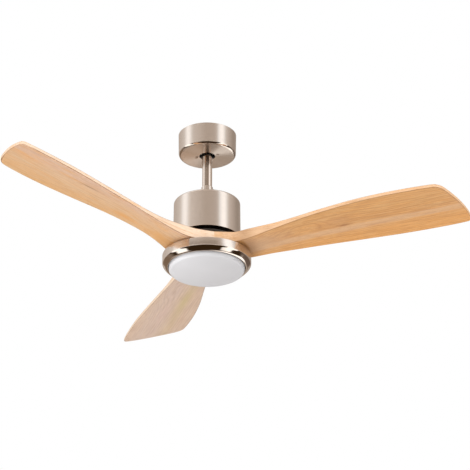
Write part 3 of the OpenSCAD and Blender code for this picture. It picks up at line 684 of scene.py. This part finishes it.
# Control stations along one blade, hub to tip, in millimetres: distance from the fan's axis,
# low edge y and depth, raised edge y and depth, thickness.
STATIONS = np.array([
    [40, 69.3, 335, -69.3, 335, 27.8],
    [85, 50, 335, -52.5, 334.5, 27.5],
    [120, 44, 335, -46.5, 327, 27.2],
    [160, 44, 332, -46.5, 316.5, 21],
    [200, 47, 329, -50, 308, 15.5],
    [250, 51.5, 325, -56.5, 299, 12],
    [300, 56.5, 321, -63.5, 292, 11],
    [400, 66, 314, -76, 282, 10.5],
    [500, 74, 307, -81, 275, 10],
    [600, 76.5, 300, -76, 268.5, 9.5],
    [660, 75, 295, -62, 264, 9]])
TIP_REACH = 657.2         # the tip's longest reach, on its low side
TIP_SLANT = 51.0          # how much shorter the raised side is
TIP_POWER = 1.9           # how late the tip's curve bends away
LOW_CORNER, RAISED_CORNER = 11.0, 16.0    # rounding of the tip's corners
HALF_CHORD = 75.0         # half of the plank's width near the tip
WOOD_HOLE = 24.0          # radius of the hole at the hub
MITRE = 80.0              # radius that the mitres reach
HOLE_SHARE = 0.32         # share of each half of the root that borders the hole
WOOD_LOW = 335.0          # depth of the underside at the root
EDGE_ROUND = 2.2          # rounding of the plank's edges
SEAM_ROUND = 0.5          # rounding along the mitres


def along(x, column):
    """The station table's smooth curve, at an array of distances."""
    xs, ys = STATIONS[:, 0], STATIONS[:, column]
    slope = np.empty(len(xs))
    slope[1:-1] = (ys[2:] - ys[:-2]) / (xs[2:] - xs[:-2])
    slope[0] = (ys[1] - ys[0]) / (xs[1] - xs[0])
    slope[-1] = (ys[-1] - ys[-2]) / (xs[-1] - xs[-2])
    i = np.clip(np.searchsorted(xs, x, side="right") - 1, 0, len(xs) - 2)
    h = xs[i + 1] - xs[i]
    t = (x - xs[i]) / h
    return (ys[i] * (1 + 2 * t) * (1 - t) ** 2 + ys[i + 1] * t * t * (3 - 2 * t)
            + h * t * (1 - t) * ((1 - t) * slope[i] - t * slope[i + 1]))


def corner(v, radius):
    """How far a rounded corner at v = 1 sets the tip back."""
    w = radius / HALF_CHORD
    q = np.maximum(0, (v - 1 + w) / w)
    return radius * (1 - np.sqrt(1 - np.minimum(1, q * q)))


def tip_x(v):
    """The tip's distance from the axis, from the raised edge at v = -1 to the low edge at v = 1."""
    return (TIP_REACH - TIP_SLANT * ((1 - v) / 2) ** TIP_POWER
            - corner(v, LOW_CORNER) - corner(-v, RAISED_CORNER))


def underside(x, v):
    """Points (x, y, depth) of the plank's underside."""
    k = (1 + v) / 2
    low_y, low_z, high_y, high_z = (along(x, c) for c in (1, 2, 3, 4))
    return np.stack([x, high_y + (low_y - high_y) * k, high_z + (low_z - high_z) * k], -1)


def root_curve(v):
    """The plank's end at the hub: out along one mitre, round the hole and out along the other."""
    a = np.abs(v)
    run = (MITRE - WOOD_HOLE) * (a - HOLE_SHARE) / (1 - HOLE_SHARE)
    rho = np.where(a < HOLE_SHARE, WOOD_HOLE, WOOD_HOLE + run)
    angle = np.radians(np.where(a < HOLE_SHARE, 60 * v / HOLE_SHARE, 60 * np.sign(v)))
    return np.stack([rho * np.cos(angle), rho * np.sin(angle), np.full_like(v, WOOD_LOW)], -1)


def blade_grid():
    """Rows from hub to tip of points on the underside."""
    inner = np.sin(np.linspace(-1, 1, 41) * math.pi / 2) * 0.955
    ends = np.array([0.972, 0.982, 0.990, 0.996, 1.0])
    v = np.concatenate([-ends[::-1], inner, ends])
    hub_x, mitre_x = STATIONS[1, 0], STATIONS[0, 0]
    rows = []
    for w in np.concatenate([[0, 0.006, 0.014, 0.03], np.linspace(0.08, 1, 16)]):
        p, q = root_curve(v), underside(np.full_like(v, hub_x), v)
        x = np.full_like(v, mitre_x + (hub_x - mitre_x) * w)
        side = np.where(v > 0, along(x, 1), along(x, 3))
        straight = np.where(v > 0, STATIONS[0, 1] * (1 - w) + STATIONS[1, 1] * w,
                            STATIONS[0, 3] * (1 - w) + STATIONS[1, 3] * w)
        point = p + (q - p) * w
        point[:, 1] += np.abs(v) * (side - straight)
        rows.append(point)
    shares = np.linspace(0, 0.985, 120)[1:]
    shares = np.concatenate([shares, [0.990, 0.9935, 0.996, 0.9975, 0.9984, 0.9991, 0.9996, 1.0]])
    for s in shares:
        x = hub_x + (TIP_REACH - hub_x) * s - (TIP_REACH - tip_x(v)) * s ** 8
        rows.append(underside(x, v))
    return np.array(rows)


def outline_distance(points, loop):
    """Shortest plan distance from each point to a closed or open polyline."""
    a, b = loop[:-1], loop[1:]
    ab = b - a
    length = (ab ** 2).sum(-1) + 1e-12
    best = np.full(len(points), 1e9)
    for start in range(0, len(points), 1500):
        block = points[start:start + 1500, None, :]
        t = np.clip(((block - a) * ab).sum(-1) / length, 0, 1)
        gap = block - (a + ab * t[..., None])
        best[start:start + 1500] = np.sqrt((gap ** 2).sum(-1)).min(1)
    return best


def blade_mesh():
    """Points in metres and faces of the plank that lies along X, with rounded edges."""
    low = blade_grid()
    n, m = low.shape[:2]
    plan = low.reshape(-1, 3)[:, :2]
    free_edge = np.concatenate([low[:, 0, :2], low[-1, :, :2], low[::-1, -1, :2]])
    seam_edge = low[0, :, :2]

    def inset(distance, radius):
        d = np.minimum(distance, radius)
        return radius - np.sqrt(radius ** 2 - (radius - d) ** 2)

    drop = np.maximum(inset(outline_distance(plan, free_edge), EDGE_ROUND),
                      inset(outline_distance(plan, seam_edge), SEAM_ROUND)).reshape(n, m)
    thick = along(np.maximum(low[..., 0], STATIONS[0, 0]), 5)
    bottom, top = low.copy(), low.copy()
    bottom[..., 2] = -low[..., 2] + drop
    top[..., 2] = -low[..., 2] + thick - drop
    verts = np.concatenate([bottom.reshape(-1, 3), top.reshape(-1, 3)]) * MM
    faces = []
    size = n * m
    for i in range(n - 1):
        for j in range(m - 1):
            a = i * m + j
            faces.append((a, a + m, a + m + 1, a + 1))
            faces.append((size + a, size + a + 1, size + a + m + 1, size + a + m))
    rim = list(range(m)) + [i * m + m - 1 for i in range(1, n)]
    rim += [(n - 1) * m + j for j in range(m - 2, -1, -1)] + [i * m for i in range(n - 2, 0, -1)]
    for a, b in zip(rim, rim[1:] + rim[:1]):
        faces.append((a, b, b + size, a + size))
    return verts, faces


BAND_REACH = 0.090        # colour bands cover this much on each side of a plank's middle
RINGS_PER_METRE = 150.0

# One entry a plank. Turn is in degrees. Bands and ring_share are at millimetres across the plank, with
# a colour or a share. Heart is (y, z). Knots are (x, y, length, width, push on the rings) and marks
# (x, y, length, width, colour, strength), in metres. Arris is the strength of the line at the edges,
# and arris_end the distance along the plank where it fades.
# Each plank's edge colour is a painted highlight on its side faces.
PLANKS = [
    {
        "name": "plank_1", "node": "blade_1", "turn": 0.0, "seed": (0.10, 0.02, 0.0),
        # The paler, greyer band from 4 to 17 mm is partly paler wood and partly a painted sheen, and its
        # rings are faint there.
        "bands": [(-75, (0.655, 0.345, 0.122)), (-45, (0.610, 0.322, 0.110)), (-12, (0.575, 0.285, 0.090)),
                  (0, (0.580, 0.295, 0.105)), (4, (0.620, 0.375, 0.200)), (17, (0.620, 0.365, 0.190)),
                  (23, (0.650, 0.325, 0.103)), (45, (0.680, 0.325, 0.088)), (75, (0.720, 0.345, 0.096))],
        "heart": (0.260, -0.360),
        "knots": [(0.262, -0.034, 0.090, 0.026, -0.036), (0.356, -0.004, 0.020, 0.010, -0.016),
                  (0.420, -0.030, 0.120, 0.030, 0.008)],
        "ring_share": [(-75, 0.45), (-50, 0.60), (-5, 0.62), (3, 0.14), (18, 0.12), (26, 0.45), (75, 0.45)],
        "ring_colour": (0.40, 0.165, 0.050), "arris": 0.6, "arris_colour": (0.36, 0.18, 0.08),
        "arris_end": 0.66, "light_colour": (0.76, 0.46, 0.22),
        "streak_strength": 0.45, "streak_colour": (0.76, 0.36, 0.10), "pale_colour": (0.60, 0.40, 0.20),
        "edge_highlight_colour": (0.84, 0.58, 0.38),
        # The first two marks are painted shade on the blade next to the light ring; the second is a painted
        # shadow wedge over the orange wood.
        "marks": [(0.140, -0.006, 0.070, 0.026, (0.53, 0.32, 0.18), 0.75),
                  (0.108, -0.010, 0.024, 0.050, (0.33, 0.155, 0.055), 0.85),
                  (0.335, -0.022, 0.040, 0.016, (0.52, 0.27, 0.12), 0.45),
                  (0.352, -0.002, 0.013, 0.0035, (0.30, 0.12, 0.04), 0.85)],
    },
    {
        "name": "plank_2", "node": "blade_2", "turn": 120.0, "seed": (1.70, 0.31, 0.2),
        "bands": [(-75, (0.672, 0.497, 0.394)), (-45, (0.672, 0.486, 0.371)), (-36, (0.651, 0.486, 0.336)),
                  (-26, (0.63, 0.475, 0.302)), (-14, (0.672, 0.508, 0.383)), (10, (0.672, 0.508, 0.441)),
                  (45, (0.683, 0.518, 0.429)), (75, (0.714, 0.518, 0.394))],
        "heart": (0.330, -0.330), "knots": [(0.250, 0.040, 0.120, 0.030, 0.030)],
        "ring_share": [(-75, 0.55), (0, 0.45), (75, 0.35)],
        "ring_colour": (0.44, 0.28, 0.18), "arris": 0.7, "arris_colour": (0.34, 0.24, 0.17),
        "arris_end": 0.66, "light_colour": (0.80, 0.62, 0.46),
        "streak_strength": 0.25, "streak_colour": (0.68, 0.46, 0.29), "pale_colour": (0.64, 0.53, 0.47),
        "edge_highlight_colour": (0.86, 0.68, 0.50),
        "marks": [(0.360, -0.026, 0.070, 0.010, (0.58, 0.46, 0.20), 0.6),
                  (0.446, 0.012, 0.060, 0.012, (0.68, 0.47, 0.40), 0.5)],
    },
    {
        "name": "plank_3", "node": "blade_3", "turn": 240.0, "seed": (3.10, -0.22, 0.1),
        "bands": [(-75, (0.800, 0.470, 0.215)), (-40, (0.790, 0.480, 0.245)), (-10, (0.795, 0.515, 0.300)),
                  (20, (0.795, 0.525, 0.330)), (38, (0.785, 0.525, 0.375)), (60, (0.760, 0.520, 0.405)),
                  (75, (0.800, 0.540, 0.375))],
        "heart": (-0.300, -0.320), "knots": [(0.380, -0.020, 0.160, 0.030, 0.016)],
        "ring_share": [(-75, 0.32), (75, 0.32)],
        "ring_colour": (0.55, 0.28, 0.11), "arris": 0.95, "arris_colour": (0.28, 0.13, 0.06),
        "arris_end": 0.615, "light_colour": (0.84, 0.62, 0.44),
        "streak_strength": 0.75, "streak_colour": (0.82, 0.43, 0.15), "pale_colour": (0.70, 0.55, 0.40),
        "edge_highlight_colour": (0.90, 0.72, 0.55),
        "marks": [(0.412, 0.031, 0.026, 0.0028, (0.36, 0.20, 0.10), 0.9),
                  (0.255, -0.027, 0.034, 0.011, (0.80, 0.38, 0.10), 0.75),
                  (0.610, 0.029, 0.060, 0.006, (0.82, 0.42, 0.16), 0.6),
                  (0.130, -0.024, 0.050, 0.020, (0.74, 0.36, 0.10), 0.65)],
    },
]


def make_blades():
    """Three planks, each its own piece of wood. The grain follows each plank."""
    verts, faces = blade_mesh()
    for plank in PLANKS:
        wood = plank_wood("wood_" + plank["name"], plank)
        c, k = math.cos(math.radians(plank["turn"])), math.sin(math.radians(plank["turn"]))
        turned = verts @ np.array([[c, k, 0], [-k, c, 0], [0, 0, 1]])
        obj = new_piece(plank["name"], turned, faces, wood, "rotor", 50.0)
        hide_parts(plank["node"])


# ---- studio ----

LENS_LIGHT_WATTS = 0.42
LENS_LIGHT_SIZE = 0.20                       # metres, as are the places below
LENS_LIGHT_LEFT, LENS_LIGHT_FRONT, LENS_LIGHT_BELOW = 0.21, 0.13, 0.17
LENS_AIM_LEFT, LENS_AIM_FRONT = 0.08, 0.05   # the light points at this place on the lens

# The studio seen in the metal, by the angle round the fan from the camera's side, in degrees, positive
# to the right: a soft cream light on the left, a white softbox on the right and warm walls between.
STUDIO_WALLS = [
    (-180, 0.60), (-140, 0.66), (-118, 0.78), (-101, 0.88), (-92, 1.26), (-84, 1.42), (-75, 1.30),
    (-65, 0.92), (-46, 0.80), (-28, 0.73), (-5, 0.62), (18, 0.63), (37, 0.68), (45, 1.10), (51, 1.48),
    (66, 1.48), (74, 1.02), (81, 0.76), (98, 0.64), (125, 0.42), (145, 0.42), (180, 0.62)]
FLOOR_DARK = (0.040, 0.021, 0.008)      # below the horizon in front and at the sides
FLOOR_BEHIND = (0.49, 0.417, 0.354)
SOFTBOX = (1.75, 1.71, 1.64)
BACK_LIGHT = (2.0, 1.93, 1.85)
BACK_DARK = (0.25, 0.175, 0.12)
RIGHT_DARK = (0.17, 0.125, 0.10)

# Patches over the floor: colour, then low end, high end and soft edge of the angle, in degrees, and of
# the height, from -1 straight below to 0 at the horizon and 1 straight above.
FLOOR_PATCHES = [
    (SOFTBOX, (-98, -70, 4), (-0.86, 0.15, 0.15)),
    (SOFTBOX, (53, 84, 4), (-0.86, 0.15, 0.15)),
    (BACK_LIGHT, (118, 168, 10), (-0.95, -0.50, 0.1)),
    (BACK_DARK, (-174, -115, 20), (-0.60, 0.0, 0.1)),
    (RIGHT_DARK, (100, 160, 15), (-0.50, 0.0, 0.1))]
MIDDLE_ANGLES = (-64, 33, 16)           # the wall in front, between the lights
MIDDLE_LIFT = (1.42, 1.41, 1.40)        # its brightening
SCREEN_HEIGHTS = (0.36, 0.53, 0.06)     # a dark screen on it
DARK_SCREEN = (0.20, 0.16, 0.12)

# The even light on matt surfaces: its level from the side, its rise towards the camera and its fall to
# the camera's right.
MATT_LEVEL, MATT_FRONT, MATT_RIGHT = 0.92, 0.52, -0.16
MATT_WHITE = (1.0, 0.985, 0.965)
MATT_STRENGTH = (1.50, 1.50, 1.50)


def studio_tone(level):
    """The walls are warm where they are dim and neutral where a light is."""
    share = min(1.0, max(0.0, (level - 0.5) / 0.6))
    return (level, level * (0.845 + 0.155 * share), level * (0.72 + 0.28 * share))


def make_world():
    """A soft studio. Mirror reflections see its walls, lights and dark floor, matt surfaces an even light
    that is stronger from in front, and the camera plain white."""
    world = bpy.data.worlds.new("studio")
    bpy.context.scene.world = world
    world.use_nodes = True
    tree = world.node_tree
    tree.nodes.clear()
    nodes = Nodes(tree)
    turned = nodes.add("ShaderNodeVectorRotate", rotation_type="Z_AXIS")
    turned.inputs["Angle"].default_value = -math.radians(VIEW_AZIMUTH)
    nodes.link(nodes.add("ShaderNodeTexCoord").outputs["Generated"], turned.inputs["Vector"])
    parts = nodes.add("ShaderNodeSeparateXYZ")
    nodes.link(turned.outputs[0], parts.inputs[0])
    right, away, up = parts.outputs
    toward = nodes.math("MULTIPLY", away, -1.0)
    angle = nodes.math("MULTIPLY", nodes.math("ARCTAN2", right, toward), 180 / math.pi)

    def window(value, low, high, soft):
        """1 between low and high, fading to 0 over a soft edge."""
        rise = nodes.math("DIVIDE", nodes.math("SUBTRACT", value, low - soft / 2), soft, True)
        fall = nodes.math("DIVIDE", nodes.math("SUBTRACT", high + soft / 2, value), soft, True)
        return nodes.math("MULTIPLY", rise, fall)

    stops = [((degrees + 180) / 360, studio_tone(level)) for degrees, level in STUDIO_WALLS]
    walls = nodes.ramp(nodes.math("DIVIDE", nodes.math("ADD", angle, 180.0), 360.0), stops)
    middle = window(angle, *MIDDLE_ANGLES)
    walls = nodes.mix(middle, walls, MIDDLE_LIFT, "MULTIPLY")
    screen = nodes.math("MULTIPLY", middle, window(up, *SCREEN_HEIGHTS))
    walls = nodes.mix(screen, walls, DARK_SCREEN)

    half_away = nodes.math("ADD", nodes.math("MULTIPLY", away, 0.5), 0.5)
    floor = nodes.mix(nodes.levels(half_away, [(0.62, 0), (0.76, 1)]), FLOOR_DARK, FLOOR_BEHIND)
    for colour, angles, heights in FLOOR_PATCHES:
        patch = nodes.math("MULTIPLY", window(angle, *angles), window(up, *heights))
        floor = nodes.mix(patch, floor, colour)
    half_up = nodes.math("ADD", nodes.math("MULTIPLY", up, 0.5), 0.5)
    mirror = nodes.mix(nodes.levels(half_up, [(0.49, 0), (0.515, 1)]), floor, walls)

    # Matt surfaces: brighter from the camera's side and from its left.
    front = nodes.math("MULTIPLY", toward, MATT_FRONT)
    level = nodes.math("ADD", front, nodes.math("MULTIPLY", right, MATT_RIGHT))
    white = nodes.ramp(nodes.math("ADD", level, MATT_LEVEL), [(0.0, (0, 0, 0)), (1.0, MATT_WHITE)])
    matt = nodes.mix(1.0, white, MATT_STRENGTH, "MULTIPLY")

    path = nodes.add("ShaderNodeLightPath")
    lit = nodes.mix(path.outputs["Is Diffuse Ray"], mirror, matt)
    studio = nodes.add("ShaderNodeBackground")
    nodes.link(lit, studio.inputs["Color"])
    plain = nodes.add("ShaderNodeBackground")
    plain.inputs["Color"].default_value = (1, 1, 1, 1)
    chooser = nodes.add("ShaderNodeMixShader")
    nodes.link(path.outputs["Is Camera Ray"], chooser.inputs[0])
    nodes.link(studio.outputs[0], chooser.inputs[1])
    nodes.link(plain.outputs[0], chooser.inputs[2])
    nodes.link(chooser.outputs[0], nodes.add("ShaderNodeOutputWorld").inputs[0])
    bpy.context.scene.view_settings.view_transform = "Standard"


def make_lens_light():
    """A small soft light near the lens, on its left and below. It lights only the lens."""
    light = bpy.data.lights.new("lens_light", "AREA")
    light.shape = "DISK"
    light.size = LENS_LIGHT_SIZE
    light.energy = LENS_LIGHT_WATTS
    light.color = (1.0, 1.0, 1.0)
    obj = bpy.data.objects.new("lens_light", light)
    bpy.context.scene.collection.objects.link(obj)
    right, away = view_axes()
    spot = Vector((0, 0, cad_bounds[0][2]))
    below = Vector((0, 0, -LENS_LIGHT_BELOW))
    obj.location = spot - right * LENS_LIGHT_LEFT - away * LENS_LIGHT_FRONT + below
    aim = spot - right * LENS_AIM_LEFT - away * LENS_AIM_FRONT - obj.location
    obj.rotation_euler = aim.to_track_quat("-Z", "Y").to_euler()
    obj.visible_glossy = False
    obj.visible_camera = False
    lit = bpy.data.collections.new("lit_by_lens_light")
    lit.objects.link(bpy.data.objects["lens_shell"])
    obj.light_linking.receiver_collection = lit


def make_floor():
    """A pale floor, far enough below that no view from underneath is blocked."""
    depth, half, cells = -13.8, 9.0, 12
    row = cells + 1
    verts = [(-half + 2 * half * i / cells, -half + 2 * half * j / cells, depth)
             for i in range(row) for j in range(row)]
    faces = [(i * row + j, (i + 1) * row + j, (i + 1) * row + j + 1, i * row + j + 1)
             for i in range(cells) for j in range(cells)]
    mesh = bpy.data.meshes.new("floor")
    mesh.from_pydata(verts, [], faces)
    mesh.materials.append(moulded("floor_paint", (0.86, 0.86, 0.86), 0.8, 300.0, 0.02))
    obj = bpy.data.objects.new("floor", mesh)
    bpy.context.scene.collection.objects.link(obj)
    obj.visible_glossy = False


make_camera()
make_world()
make_floor()
materials = make_materials()
dress_cad_nodes(materials)
make_canopy(materials["brushed_nickel"])
make_rod(materials["rod_nickel"])
make_coupler(materials["brushed_nickel"])
make_housing(materials["brushed_nickel"])
make_light_ring(materials["ring_nickel"])
make_lens(materials["opal_plastic"])
make_lens_light()
make_blades()
